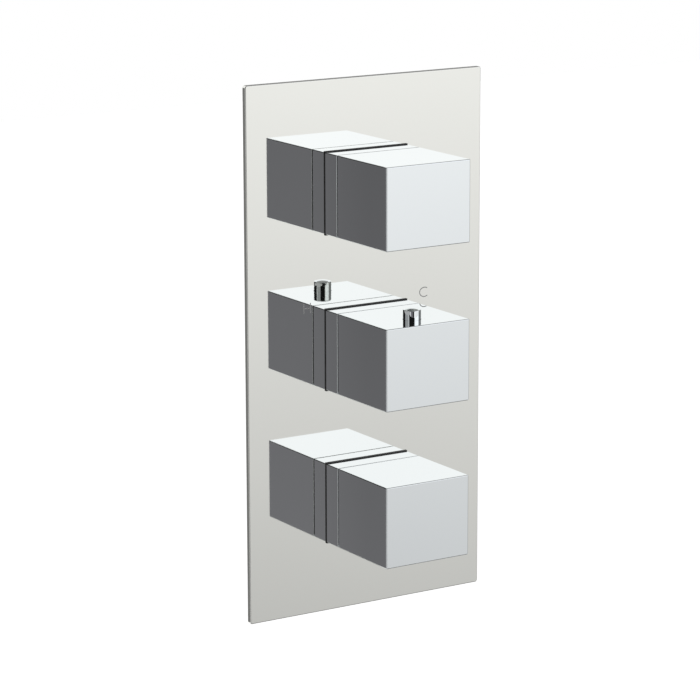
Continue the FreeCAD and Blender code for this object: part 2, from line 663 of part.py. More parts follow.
def make_collars():
    """For each handle a threaded sleeve, a sealing ring on it, a black seal and the fixed collar."""
    rings, seals = [], []
    for name, level in HANDLES.items():
        groove = "(sleeve_ring + groove_play)"
        low, high = f"sleeve_ring_place - {groove}", f"sleeve_ring_place + {groove}"
        floor = "collar_bore - 2 * sleeve_ring - groove_play"
        runs = [("sleeve_radius", low), (floor, high), ("sleeve_radius", "sleeve_front")]
        sleeve = turned(f"{name}_sleeve_tube", "boss_front", runs, [("sleeve_bore", "sleeve_front")])
        keep(sleeve, f"{name}_sleeve", z=level)
        ring_item = o_ring(f"{name}_ring", "collar_bore - sleeve_ring - groove_play / 2", "2 * sleeve_ring",
                           "sleeve_ring_place")
        bind_place(ring_item, y=level)
        rings.append(ring_item)

        seal = doc.addObject("PartDesign::Body", f"{name}_gasket")
        outline = sketch_on(seal, f"{name}_gasket_outline", depth="plate_front")
        draw_rectangle(outline, "handle_width", "handle_height + 2 * seal_lip")
        draw_circle(outline, "collar_bore")
        pad(seal, f"{name}_gasket_pad", outline, "collar_seal")
        bind_place(seal, y=level)
        seals.append(seal)

        collar = doc.addObject("PartDesign::Body", f"{name}_collar_block")
        outline = sketch_on(collar, f"{name}_collar_outline", depth="collar_back")
        draw_rectangle(outline, "handle_width", "handle_height")
        pad(collar, f"{name}_collar_pad", outline, "collar_front - (collar_back)")
        bore = sketch_on(collar, f"{name}_collar_bore", depth="collar_back")
        draw_circle(bore, "collar_bore")
        pocket(collar, f"{name}_collar_cut", bore, reverse=True)
        chosen = outer_corner("handle_width", "handle_height")
        round_edges(collar, f"{name}_collar_corners", "handle_corner", chosen)
        chosen = outside_rim("handle_width", "handle_height", "collar_front")
        round_edges(collar, f"{name}_collar_rim", "collar_rim", chosen)
        keep(collar, f"{name}_collar", z=level)
    keep(group("rings", rings), "sleeve_orings")
    keep(group("seals", seals), "collar_seals")


def make_stop_ring():
    """The ring on the middle sleeve whose lug meets the override button's arm."""
    blank = turned(
        "stop_blank",
        "sleeve_front - stop_spigot",
        [("nose_radius", "sleeve_front"), ("sleeve_radius", "stop_front")],
        [("stop_bore", "stop_front")],
    )
    lug_place = "sleeve_radius - lug_depth / 2 - lug_inset"
    lug = block("lug", "lug_width", "lug_depth", "lug_height + 1", "stop_front - 1", "0", lug_place)
    keep(joined("stop_ring", [blank, lug]), "temperature_stop_ring")


# ---- handles -------------------------------------------------------------------------------------


def make_handle(name, level):
    """A hollow block with a square hub, bored for the adaptor and for its grub screw."""
    body = doc.addObject("PartDesign::Body", f"{name}_block")
    outline = sketch_on(body, f"{name}_outline", depth="handle_back")
    draw_rectangle(outline, "handle_width", "handle_height")
    pad(body, f"{name}_pad", outline, "handle_front - (handle_back)")
    hollow = sketch_on(body, f"{name}_hollow", depth="handle_back")
    draw_rectangle(hollow, "handle_width - 2 * handle_wall", "handle_height - 2 * handle_wall")
    pocket(body, f"{name}_cavity", hollow, "cavity_front - (handle_back)", reverse=True)
    square = sketch_on(body, f"{name}_hub_outline", depth="hub_back")
    draw_rectangle(square, "hub_side", "hub_side")
    pad(body, f"{name}_hub", square, "cavity_front - (hub_back)")
    bore = sketch_on(body, f"{name}_bore_outline", depth="hub_back")
    draw_circle(bore, "hub_bore")
    pocket(body, f"{name}_bore", bore, "hub_bore_front - (hub_back)", reverse=True)
    screw_hole = sketch_on(body, f"{name}_screw_outline", "XZ_Plane")
    draw_circle(screw_hole, "grub_radius + grub_play", y="grub_depth")
    pocket(body, f"{name}_screw_hole", screw_hole, reverse=True)
    if name == "temperature":
        stem_hole = sketch_on(body, "stem_hole_outline", "XZ_Plane")
        draw_circle(stem_hole, "button_stem + button_play", y="button_depth")
        pocket(body, "stem_hole", stem_hole, "hub_side / 2 + 1")
        button_hole = sketch_on(body, "button_hole_outline", "XZ_Plane", depth="-hub_side / 2 - 1")
        draw_circle(button_hole, "button_radius + button_play", y="button_depth")
        pocket(body, "button_hole", button_hole)
    round_edges(body, f"{name}_corners", "handle_corner", outer_corner("handle_width", "handle_height"))
    for end, radius in (("front", "handle_rim"), ("back", "handle_back_rim")):
        chosen = outside_rim("handle_width", "handle_height", f"handle_{end}")
        round_edges(body, f"{name}_{end}_rim", radius, chosen)
    keep(body, f"{name}_handle", z=level)


def make_drive(name, level):
    """The adaptor between spindle and handle, the grub screw that grips it and the spindle's clip."""
    adaptor = turned(
        f"{name}_adaptor_bar",
        "adaptor_back",
        [("adaptor_radius", "adaptor_front")],
        [("spindle_bore", "adaptor_back + adaptor_grip"), ("0", "adaptor_front")],
    )
    keep(adaptor, f"{name}_adaptor", z=level)
    start = "-adaptor_radius - hub_fit - grub_length"
    screw = rod(f"{name}_screw_bar", "grub_radius", start, "grub_length", "0", "grub_depth", along="Y")
    socket = hexagon(f"{name}_screw_socket", "grub_socket", f"{start} - 1", "grub_length / 2 + 1", along="Y")
    keep(cut(f"{name}_screw", screw, [socket]), f"{name}_grub_screw", z=level)
    blank = ring(f"{name}_clip_ring", "clip_bore", "clip_radius", "clip_back", "clip_back + clip_thickness")
    slot = block(f"{name}_clip_slot", "clip_gap", "clip_radius + 1", "clip_thickness + 2", "clip_back - 1",
                 "0", "(clip_radius + 1) / 2")
    keep(cut(f"{name}_clip", blank, [slot]), f"{name}_spindle_clip", z=level)
    places = SPINDLE_RINGS["temperature" if name == "temperature" else "flow"]
    rings = [o_ring(f"{name}_ring_{n}", "ring_centre", "ring_thickness", place) for n, place in enumerate(places)]
    keep(group(f"{name}_rings", rings), f"{name}_spindle_orings", z=level)


def spindle_runs(kind):
    """The turned steps at the front of every spindle: two grooves for its rings and one for the clip."""
    half = "ring_groove_width / 2"
    runs = []
    for place in SPINDLE_RINGS[kind]:
        runs += [("spindle_radius", f"{place} - {half}"), ("ring_floor", f"{place} + {half}")]
    return [
        *runs,
        ("spindle_radius", "clip_back - groove_play"),
        ("spindle_radius - clip_groove", "clip_back + clip_thickness + groove_play"),
        ("spindle_radius", "spindle_front"),
    ]


def make_button():
    """The override button: head, guiding flange, stem, the arm that reaches back to the stop, and its spring."""
    top = "handle_height / 2 + button_height"
    head = rod("button_head", "button_radius", "button_flange_bottom", f"{top} - (button_flange_bottom)",
               "0", "button_depth", along="Y")
    edge = doc.addObject("Part::Chamfer", "button_edge")
    edge.Base = head
    doc.recompute()
    rim = next(
        n for n, e in enumerate(head.Shape.Edges, start=1) if e.Closed and e.BoundBox.YMin > value(top) - 0.01
    )
    edge.Edges = [(rim, value("button_edge"), value("button_edge"))]
    flange = rod("button_guide", "button_flange_radius", "button_flange_bottom", "button_flange_thickness",
                 "0", "button_depth", along="Y")
    stem = rod("button_stem_bar", "button_stem", "stem_start", "button_flange_bottom - stem_start + overlap",
               "0", "button_depth", along="Y")
    arm = block("button_arm", "arm_width", "arm_thickness + overlap", "button_depth + button_flange_radius - arm_tip",
                "arm_tip", "0", "arm_bottom + (arm_thickness + overlap) / 2")
    keep(joined("button", [edge, flange, stem, arm]), "override_button")
    spring = coil("button_coil", "button_spring_radius", "button_spring_wire", "hub_side / 2 + spring_play",
                  "arm_bottom - spring_play", "button_spring_turns")
    keep(spring, "override_spring", y="-(button_depth)", turn=FreeCAD.Rotation())


# ---- quarter-turn flow cartridges ----------------------------------------------------------------


def make_flow_cartridge(name):
    """Bush, spindle, two ceramic discs and a seat seal, set on the axis of one flow handle."""
    level = HANDLES[name]
    blank = turned(
        f"{name}_bush_turned",
        "cage_back",
        [("cage_radius", "thread_back"), ("bush_thread", "flange_back + 1")],
        [("cage_bore", "cage_chamber_front"), ("spindle_bore", "flange_back + 1")],
    )
    flange = hexagon(f"{name}_bush_hex", "hex_flats", "flange_back", "flange_thickness")
    bore = rod(f"{name}_bush_bore", "spindle_bore", "flange_back - 1", "flange_thickness + 2")
    windows = [
        block(f"{name}_window_{n}", *sides, "window_height", "window_back")
        for n, sides in enumerate((("3 * cage_radius", "window_width"), ("window_width", "3 * cage_radius")))
    ]
    bush = cut(f"{name}_bush", joined(f"{name}_bush_blank", [blank, flange]), [bore, *windows])
    keep(bush, f"{name}_cartridge_bush", z=level)

    seal = ring(f"{name}_seal_ring", "disc_radius - seat_seal_wall", "disc_radius", "seat_seal_back",
                "seat_seal_front")
    keep(seal, f"{name}_seat_seal", z=level)

    fixed = ring(f"{name}_fixed_blank", "disc_play", "disc_radius", "fixed_disc_back",
                 "fixed_disc_back + disc_thickness")
    flow = [
        rod(f"{name}_fixed_hole_{n}", "disc_hole", "fixed_disc_back - 1", "disc_thickness + 2",
            f"{side} * disc_hole_circle")
        for n, side in enumerate((1, -1))
    ]
    keep(cut(f"{name}_fixed", fixed, flow), f"{name}_fixed_disc", z=level)

    moving = ring(f"{name}_moving_blank", "disc_play", "moving_disc_radius", "moving_disc_back",
                  "moving_disc_front")
    holes = []
    for n, side in enumerate((1, -1)):
        holes.append(rod(f"{name}_moving_hole_{n}", "disc_hole", "moving_disc_back - 1", "disc_thickness + 2",
                         "0", f"{side} * disc_hole_circle"))
        holes.append(rod(f"{name}_prong_hole_{n}", "prong_radius + prong_play", "moving_disc_back - 1",
                         "disc_thickness + 2", f"{side} * prong_circle"))
    keep(cut(f"{name}_moving", moving, holes), f"{name}_moving_disc", z=level)

    runs = [("driver_radius", "driver_back + driver_thickness"), *spindle_runs("flow")]
    shaft = turned(f"{name}_shaft", "driver_back", runs)
    start = "moving_disc_front - prong_depth"
    prongs = [
        rod(f"{name}_prong_{n}", "prong_radius", start, f"driver_back - ({start}) + 1", f"{side} * prong_circle")
        for n, side in enumerate((1, -1))
    ]
    keep(joined(f"{name}_drive", [shaft, *prongs]), f"{name}_spindle", z=level)


def make_washers():
    """The flat sealing washers under the two bushes' hexagons."""
    washers = []
    for name in FLOW_HANDLES:
        washer = ring(f"{name}_washer", "flow_bore", "flow_bore + washer_width", "nose_front", "flange_back")
        bind_place(washer, y=HANDLES[name])
        washers.append(washer)
    keep(group("washers", washers), "cartridge_washers")


# ---- thermostatic cartridge ----------------------------------------------------------------------


def make_thermostat():
    """Housing with hot and cold windows, and inside it the shuttle, wax element, springs, nut and spindle."""
    rings = (
        "housing_back + housing_ring_margin",
        "port_depth",
        "cold_depth + housing_ring_margin + groove_width",
    )
    ring_floor = "housing_radius - 2 * housing_ring + cartridge_play / 2"
    ring_half = "housing_ring + groove_play"
    window_floor = "housing_radius - groove_depth"
    window_half = "groove_width / 2"
    steps = []
    for place, floor, half in (
        (rings[0], ring_floor, ring_half),
        ("hot_depth", window_floor, window_half),
        (rings[1], ring_floor, ring_half),
        ("cold_depth", window_floor, window_half),
        (rings[2], ring_floor, ring_half),
    ):
        steps += [("housing_radius", f"{place} - ({half})"), (floor, f"{place} + {half}")]
    steps.append(("housing_radius", "nose_front + 1"))
    bores = [
        ("lip_bore", "lip_front"),
        ("cartridge_bore", "cartridge_chamber_front"),
        ("spindle_bore", "nose_front + 1"),
    ]
    blank = turned("housing_turned", "housing_back", steps, bores)
    flange = hexagon("housing_hex", "cartridge_hex", "nose_front", "housing_flange_front - nose_front")
    bore = rod("housing_bore", "spindle_bore", "nose_front - 1", "housing_flange_front - nose_front + 2")
    holes = [
        rod(f"window_{along}_{depth}", "port_hole", "-thermostat_bore - 1", "2 * (thermostat_bore + 1)",
            "0", depth, along)
        for along in ("X", "Y")
        for depth in ("hot_depth", "cold_depth")
    ]
    housing = cut("housing", joined("housing_blank", [blank, flange]), [bore, *holes])
    keep(housing, "thermostatic_housing")
    ring_centre = "housing_radius + cartridge_play / 2 - housing_ring"
    seals = [o_ring(f"housing_ring_{n}", ring_centre, "2 * housing_ring", place) for n, place in enumerate(rings)]
    keep(group("housing_rings", seals), "housing_orings")

    shaft = turned(
        "temperature_shaft",
        "screw_back",
        [
            ("screw_radius", "screw_flange_back"),
            ("screw_flange", "screw_flange_back + screw_flange_thickness"),
            *spindle_runs("temperature"),
        ],
    )
    keep(shaft, "temperature_spindle")
    nut = ring("nut", "screw_radius + spindle_play", "nut_radius", "nut_back", "nut_back + nut_length")
    keep(nut, "regulating_nut")

    tube = turned(
        "shuttle_turned",
        "shuttle_back",
        [("shuttle_radius", "shuttle_front")],
        [
            ("shuttle_radius - shuttle_wall", "web_back"),
            ("bulb_radius + spring_play", "web_front"),
            ("shuttle_radius - shuttle_wall", "shuttle_front"),
        ],
    )
    flow = [
        rod(f"web_hole_{along}_{side}".replace("-", "m"), "web_hole", "web_back - 1", "web_thickness + 2",
            *((f"{side} * web_hole_circle", "0") if along == "X" else ("0", f"{side} * web_hole_circle")))
        for along in ("X", "Y")
        for side in (1, -1)
    ]
    keep(cut("shuttle_cut", tube, flow), "shuttle")
    element = turned(
        "element",
        "bulb_back",
        [
            ("bulb_radius", "bulb_flange_back"),
            ("bulb_flange", "bulb_flange_back + bulb_flange_thickness"),
            ("bulb_pin", "bulb_cap_back"),
            ("bulb_cap", "bulb_cap_front"),
        ],
    )
    keep(element, "wax_thermostat")
    overload = coil("overload_coil", "overload_radius", "overload_wire", "bulb_cap_front + spring_play",
                    "nut_back - spring_play", "overload_turns")
    keep(overload, "overload_spring")
    back = coil("return_coil", "return_radius", "return_wire", "lip_front + spring_play",
                "web_back - spring_play", "return_turns")
    keep(back, "return_spring")


# ---- check valves --------------------------------------------------------------------------------


def make_check_valve(name, side):
    """Filter, check-valve body, poppet and spring in one inlet, drawn from its mouth inwards."""
    place = {
        "x": f"{side} * inlet_reach",
        "y": "-port_depth",
        "turn": FreeCAD.Rotation(FreeCAD.Vector(0, 1, 0), -90 * side),
    }
    filter_end = "filter_place + filter_length"
    blank = turned(
        f"{name}_filter_cup",
        "filter_place",
        [("check_radius", filter_end)],
        [("check_radius - filter_wall", f"{filter_end} - filter_wall"), ("filter_mesh", filter_end)],
    )
    pores = []
    for circle in (2, 4, 6):
        for n in range(3 * circle):
            turn = 2 * math.pi * n / (3 * circle)
            x, y = (f"{way:.6f} * {circle} * check_radius / 8" for way in (math.cos(turn), math.sin(turn)))
            pores.append(rod(f"{name}_pore_{circle}_{n}", "filter_mesh", f"{filter_end} - filter_wall - 1",
                             "filter_wall + 2", x, y))
    keep(cut(f"{name}_filter_cut", blank, pores), f"{name}_filter", **place)

    end = "check_place + check_length"
    seat_end = "check_place + check_seat_thickness"
    blank = turned(
        f"{name}_check_turned",
        "check_place",
        [("check_radius", end)],
        [
            ("check_seat", seat_end),
            ("check_radius - check_wall", f"{end} - check_seat_thickness"),
            ("check_guide", end),
        ],
    )
    holes = []
    for n in range(6):
        turn = 2 * math.pi * n / 6
        x, y = (f"{way:.6f} * check_hole_circle" for way in (math.cos(turn), math.sin(turn)))
        holes.append(rod(f"{name}_check_hole_{n}", "check_hole", f"{end} - check_seat_thickness - 1",
                         "check_seat_thickness + 2", x, y))
    keep(cut(f"{name}_check_cut", blank, holes), f"{name}_check_body", **place)

    poppet_front = f"{seat_end} + poppet_play + poppet_thickness"
    poppet = turned(
        f"{name}_poppet_turned",
        f"{seat_end} + poppet_play",
        [("poppet_radius", poppet_front), ("poppet_stem", end)],
    )
    keep(poppet, f"{name}_poppet", **place)
    spring = coil(f"{name}_check_coil", "check_spring_radius", "check_spring_wire",
                  f"{poppet_front} + spring_play", f"{end} - check_seat_thickness - spring_play",
                  "check_spring_turns")
    keep(spring, f"{name}_check_spring", **place)


# ---- the whole valve -----------------------------------------------------------------------------

make_bracket()
make_plate()
make_valve_body()
make_collars()
make_stop_ring()
for handle, level in HANDLES.items():
    name = "temperature" if handle == "middle" else handle
    make_handle(name, level)
    make_drive(name, level)
make_button()
for handle in FLOW_HANDLES:
    make_flow_cartridge(handle)
make_washers()
make_thermostat()
make_check_valve("hot", -1)
make_check_valve("cold", 1)
doc.recompute()

for item in doc.Objects:
    if {"Invalid", "Error"} & set(item.State):
        raise RuntimeError(f"{item.Name} ({item.Label}) failed: {item.State}")
os.makedirs("parts", exist_ok=True)
for node in nodes:
    if node.Shape.isNull() or not node.Shape.isValid():
        raise RuntimeError(f"{node.Label} has no valid shape")
    node.Shape.exportStep(f"parts/{node.Label}.step")
print(f"{len(nodes)} nodes, {sum(len(node.Shape.Solids) for node in nodes)} solids")
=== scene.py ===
"""Looks of a concealed thermostatic shower valve: mirror-polished plate, chromed block handles, brass body.

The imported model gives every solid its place. This file dresses those solids, adds the finer pieces that the
solids leave out (marks on the plate, screw threads, the button's rounded head), and sets up the studio and the
camera. Lengths are metres in the valve's own frame: X right, Y into the wall, Z up, origin on the bracket's back.
"""

from __future__ import annotations

import json
import logging
import math
from collections.abc import Iterable, Mapping, Sequence
from dataclasses import dataclass, field
from enum import Enum

import bmesh
import bpy
from mathutils import Matrix, Vector


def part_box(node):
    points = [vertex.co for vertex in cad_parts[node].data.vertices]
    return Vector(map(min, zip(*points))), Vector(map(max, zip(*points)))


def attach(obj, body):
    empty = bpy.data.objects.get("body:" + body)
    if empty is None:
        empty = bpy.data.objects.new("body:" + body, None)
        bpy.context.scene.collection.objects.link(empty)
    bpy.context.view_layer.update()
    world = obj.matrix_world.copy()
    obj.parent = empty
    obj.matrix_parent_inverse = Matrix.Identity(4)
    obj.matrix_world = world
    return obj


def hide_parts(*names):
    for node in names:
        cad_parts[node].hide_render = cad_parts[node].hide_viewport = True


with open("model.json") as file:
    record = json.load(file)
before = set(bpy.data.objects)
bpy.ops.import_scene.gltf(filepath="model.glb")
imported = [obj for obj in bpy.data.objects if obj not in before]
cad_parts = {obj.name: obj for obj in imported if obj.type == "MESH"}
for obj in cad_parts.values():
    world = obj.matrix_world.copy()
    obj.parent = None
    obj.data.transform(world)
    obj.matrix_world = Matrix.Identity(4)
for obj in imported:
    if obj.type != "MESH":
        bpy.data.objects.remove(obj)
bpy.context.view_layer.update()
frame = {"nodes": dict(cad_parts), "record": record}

MM = 0.001
PHOTO_SIDE = 700
SENSOR = 36.0
log = logging.getLogger("shower_valve")

Number = float | int
Colour = tuple[float, float, float]


# ---- shader building -----------------------------------------------------------------------------


class Signal:
    """A value in a node tree that can be used in Python expressions."""

    def __init__(self, painter: Painter, socket: bpy.types.NodeSocket) -> None:
        """Remember the socket and whose tree it is in."""
        self.painter = painter
        self.socket = socket

    def _maths(self, operation: str, *values: Signal | Number) -> Signal:
        """Add a Math node.

        Args:
            operation: the node's operation.
            values: its inputs in order.

        Returns:
            The node's result.
        """
        return self.painter.node("ShaderNodeMath", {"operation": operation}, dict(enumerate(values)))

    def __add__(self, other: Signal | Number) -> Signal:
        """self + other."""
        return self._maths("ADD", self, other)

    def __mul__(self, other: Signal | Number) -> Signal:
        """self * other."""
        return self._maths("MULTIPLY", self, other)

    def larger(self, other: Signal | Number) -> Signal:
        """The larger of self and other."""
        return self._maths("MAXIMUM", self, other)

    def sine(self) -> Signal:
        """The sine of self, in radians."""
        return self._maths("SINE", self)

    def span(self, low: float, high: float, to_low: float = 0.0, to_high: float = 1.0) -> Signal:
        """self rescaled from one range to another and held inside it."""
        values = {"Value": self, "From Min": low, "From Max": high, "To Min": to_low, "To Max": to_high}
        return self.painter.node("ShaderNodeMapRange", {"clamp": True}, values)


class Painter:
    """Builds one node tree."""

    def __init__(self, tree: bpy.types.NodeTree) -> None:
        """Take over a tree and empty it."""
        self.tree = tree
        self.tree.nodes.clear()

    def node(
        self,
        kind: str,
        settings: Mapping[str, object] | None = None,
        inputs: Mapping[str | int, object] | None = None,
        output: str | int = 0,
    ) -> Signal:
        """Add one node.

        Args:
            kind: the node's type.
            settings: its properties, set before its inputs.
            inputs: values or signals by socket name or number.
            output: the socket to return.

        Returns:
            The chosen output.
        """
        made = self.tree.nodes.new(kind)
        for name, value in (settings or {}).items():
            setattr(made, name, value)
        for name, value in (inputs or {}).items():
            if isinstance(value, Signal):
                self.tree.links.new(value.socket, made.inputs[name])
            else:
                made.inputs[name].default_value = value
        return Signal(self, made.outputs[output] if made.outputs else made.inputs[0])

    def place(self) -> Signal:
        """The point being shaded, in metres in the valve's frame."""
        return self.node("ShaderNodeTexCoord", output="Object")

    def stretched(self, scale: tuple[float, float, float]) -> Signal:
        """The point being shaded with its axes stretched."""
        return self.node("ShaderNodeMapping", inputs={"Vector": self.place(), "Scale": scale})

    def noise(self, scale: float, detail: float = 2.0, where: Signal | None = None) -> Signal:
        """Soft noise from 0 to 1 with about scale features in a metre."""
        inputs = {"Vector": where or self.place(), "Scale": scale, "Detail": detail}
        return self.node("ShaderNodeTexNoise", inputs=inputs)

    def parts(self, vector: Signal) -> tuple[Signal, Signal, Signal]:
        """The three coordinates of a vector.

        Args:
            vector: the vector to split.

        Returns:
            Its X, Y and Z.
        """
        split = self.node("ShaderNodeSeparateXYZ", inputs={"Vector": vector})
        outputs = split.socket.node.outputs
        return tuple(Signal(self, outputs[n]) for n in range(3))

    def mixed(self, share: Signal | Number, first: object, second: object) -> Signal:
        """A colour between two, by share."""
        return self.node("ShaderNodeMix", {"data_type": "RGBA"}, {0: share, 6: first, 7: second}, output=2)

    def bump(self, height: Signal, depth: float) -> Signal:
        """A surface normal tilted by a height map whose full range is depth metres."""
        inputs = {"Height": height, "Distance": depth, "Strength": 1.0}
        return self.node("ShaderNodeBump", inputs=inputs, output="Normal")


def rgba(colour: Colour) -> tuple[float, float, float, float]:
    """A colour with full alpha."""
    return (*colour, 1.0)


@dataclass(frozen=True)
class Finish:
    """A surface finish; subclasses say how its colour, roughness and relief vary."""

    name: str
    colour: Colour
    roughness: float
    metallic: float = 0.0

    def looks(self, paint: Painter) -> dict[str, object]:
        """Shader inputs that vary over the surface."""
        return {}

    def fixed(self) -> dict[str, object]:
        """Shader inputs that are the same all over."""
        return {}

    def material(self) -> bpy.types.Material:
        """The finish as a material, made once.

        Returns:
            The material, shared by all that wears it.
        """
        made = bpy.data.materials.get(self.name)
        if made is None:
            made = bpy.data.materials.new(self.name)
            made.use_nodes = True
            paint = Painter(made.node_tree)
            inputs = {
                "Base Color": rgba(self.colour),
                "Roughness": self.roughness,
                "Metallic": self.metallic,
                **self.fixed(),
                **self.looks(paint),
            }
            surface = paint.node("ShaderNodeBsdfPrincipled", inputs=inputs)
            paint.node("ShaderNodeOutputMaterial", inputs={"Surface": surface})
        return made


@dataclass(frozen=True)
class MirrorMetal(Finish):
    """Polished metal: very slight waviness, wiped smears and fine dust-sized specks of roughness."""

    metallic: float = 1.0
    wave: float = 0.00002
    wave_scale: float = 9.0
    smear: float = 0.02
    smear_scale: float = 14.0
    speck_scale: float = 900.0
    drift_scale: float = 5.0
    tint: float = 0.011

    def looks(self, paint: Painter) -> dict[str, object]:
        """Waviness as relief, smears as roughness, and a faint drift of colour.

        Args:
            paint: the material's node tree.

        Returns:
            Shader inputs by name.
        """
        smears = paint.noise(self.smear_scale, 3.0, paint.stretched((1.0, 1.0, 0.25)))
        specks = paint.noise(self.speck_scale, 1.0)
        drift = paint.noise(self.drift_scale, 2.0)
        darker = tuple(channel * (1 - 2 * self.tint) for channel in self.colour)
        roughness = smears.span(0.35, 0.75) * self.smear + specks.span(0.55, 0.8) * (self.smear / 4)
        return {
            "Base Color": paint.mixed(drift.span(0.3, 0.7), rgba(self.colour), rgba(darker)),
            "Roughness": roughness + self.roughness,
            "Normal": paint.bump(paint.noise(self.wave_scale, 1.0), self.wave),
        }


@dataclass(frozen=True)
class CastBrass(Finish):
    """Sand-cast brass: pebbled skin, and patches that are duller and darker with tarnish."""

    metallic: float = 1.0
    tarnish: Colour = (0.30, 0.19, 0.085)
    grain_scale: float = 1400.0
    lump_scale: float = 160.0
    patch_scale: float = 45.0
    relief: float = 0.00018

    def looks(self, paint: Painter) -> dict[str, object]:
        """Grain as relief and tarnish as colour.

        Args:
            paint: the material's node tree.

        Returns:
            Shader inputs by name.
        """
        grain = paint.noise(self.grain_scale, 4.0)
        lumps = paint.noise(self.lump_scale, 3.0)
        patches = paint.noise(self.patch_scale, 5.0).span(0.42, 0.68)
        return {
            "Base Color": paint.mixed(patches, rgba(self.colour), rgba(self.tarnish)),
            "Roughness": grain.span(0.3, 0.7, self.roughness - 0.08, self.roughness + 0.12) + patches * 0.1,
            "Normal": paint.bump(grain * 0.7 + lumps, self.relief),
        }


class Axis(Enum):
    """The axis that a turned piece was cut about."""

    X = 0
    Y = 1
    Z = 2


@dataclass(frozen=True)
class TurnedMetal(Finish):
    """Machined metal with the fine rings that a lathe tool leaves, and finger-marks of tarnish."""

    metallic: float = 1.0
    axis: Axis = Axis.Y
    ring_pitch: float = 0.00022
    tarnish: Colour = (0.42, 0.28, 0.12)
    blotch_scale: float = 120.0
    relief: float = 0.000006

    def looks(self, paint: Painter) -> dict[str, object]:
        """Tool rings as relief and slow blotches as colour and roughness.

        Args:
            paint: the material's node tree.

        Returns:
            Shader inputs by name.
        """
        along = paint.parts(paint.place())[self.axis.value]
        rings = (along * (2 * math.pi / self.ring_pitch)).sine()
        blotches = paint.noise(self.blotch_scale, 4.0).span(0.45, 0.75)
        return {
            "Base Color": paint.mixed(blotches * 0.6, rgba(self.colour), rgba(self.tarnish)),
            "Roughness": blotches * 0.15 + self.roughness,
            "Normal": paint.bump(rings, self.relief),
        }


@dataclass(frozen=True)
class ZincSheet(Finish):
    """Zinc-plated sheet with soft crystal patches and rolling lines."""

    metallic: float = 1.0
    crystal_scale: float = 260.0
    cloud_scale: float = 35.0
    line_scale: float = 60.0
    line_stretch: float = 30.0
    relief: float = 0.00003

    def looks(self, paint: Painter) -> dict[str, object]:
        """Crystals of slightly different grey, and rolling lines as relief.

        Args:
            paint: the material's node tree.

        Returns:
            Shader inputs by name.
        """
        settings = {"Vector": paint.place(), "Scale": self.crystal_scale}
        crystals = paint.node("ShaderNodeTexVoronoi", {"feature": "F1"}, settings, "Color")
        shade = paint.parts(crystals)[0] * 0.75 + paint.noise(self.cloud_scale, 3.0) * 0.25
        pale = tuple(min(1.0, channel * 1.16) for channel in self.colour)
        lines = paint.noise(self.line_scale, 3.0, paint.stretched((self.line_stretch, 1.0, 1.0)))
        return {
            "Base Color": paint.mixed(shade, rgba(self.colour), rgba(pale)),
            "Roughness": shade.span(0.0, 1.0, self.roughness, self.roughness + 0.14),
            "Normal": paint.bump(lines, self.relief),
        }


@dataclass(frozen=True)
class Rubber(Finish):
    """Moulded sealing rubber with a faint bloom."""

    bloom_scale: float = 220.0
    grain_scale: float = 1800.0
    relief: float = 0.00003

    def looks(self, paint: Painter) -> dict[str, object]:
        """Bloom as colour and a dull grain as relief.

        Args:
            paint: the material's node tree.

        Returns:
            Shader inputs by name.
        """
        bloom = paint.noise(self.bloom_scale, 4.0).span(0.5, 0.8)
        pale = tuple(channel + 0.03 for channel in self.colour)
        return {
            "Base Color": paint.mixed(bloom, rgba(self.colour), rgba(pale)),
            "Roughness": bloom * 0.12 + self.roughness,
            "Normal": paint.bump(paint.noise(self.grain_scale, 2.0), self.relief),
        }


@dataclass(frozen=True)
class CellFoam(Finish):
    """Closed-cell sealing foam: small round pores in a dull skin."""

    cell_scale: float = 1100.0
    drift_scale: float = 70.0
    relief: float = 0.00012

    def looks(self, paint: Painter) -> dict[str, object]:
        """Pores as relief and as painted shade that leaves the skin between them paler, and a slow drift of tone.

        Args:
            paint: the material's node tree.

        Returns:
            Shader inputs by name.
        """
        settings = {"Vector": paint.place(), "Scale": self.cell_scale}
        wall = paint.node("ShaderNodeTexVoronoi", {"feature": "DISTANCE_TO_EDGE"}, settings, "Distance")
        skin = wall.span(0.05, 0.3, 1.0, 0.0)
        pale = tuple(channel + 0.035 for channel in self.colour)
        drift = paint.noise(self.drift_scale, 3.0)
        return {
            # The pores are painted darker than the skin between them: painted shade in the pores, on top of their
            # relief.
            "Base Color": paint.mixed(skin * 0.7 + drift * 0.3, rgba(self.colour), rgba(pale)),
            "Roughness": drift.span(0.3, 0.7, self.roughness, self.roughness + 0.1),
            "Normal": paint.bump(skin + drift * 0.3, self.relief),
        }


@dataclass(frozen=True)
class WireMesh(TurnedMetal):
    """Fine woven strainer wire: crossing wires as relief, painted shadow in the openings."""

    wire_pitch: float = 0.0006
    relief: float = 0.0001

    def looks(self, paint: Painter) -> dict[str, object]:
        """The weave as relief and as painted shadow in the openings.

        Args:
            paint: the material's node tree.

        Returns:
            Shader inputs by name.
        """
        turn = 2 * math.pi / self.wire_pitch
        along, _, up = paint.parts(paint.place())
        weave = ((along * turn).sine() * (up * turn).sine()).span(-0.6, 0.9)
        return {
            # The openings take the strainer's dark tarnish colour: painted shadow where one looks into the
            # strainer.
            "Base Color": paint.mixed(weave, rgba(self.tarnish), rgba(self.colour)),
            "Roughness": weave.span(0.0, 1.0, self.roughness + 0.2, self.roughness),
            "Normal": paint.bump(weave, self.relief),
        }


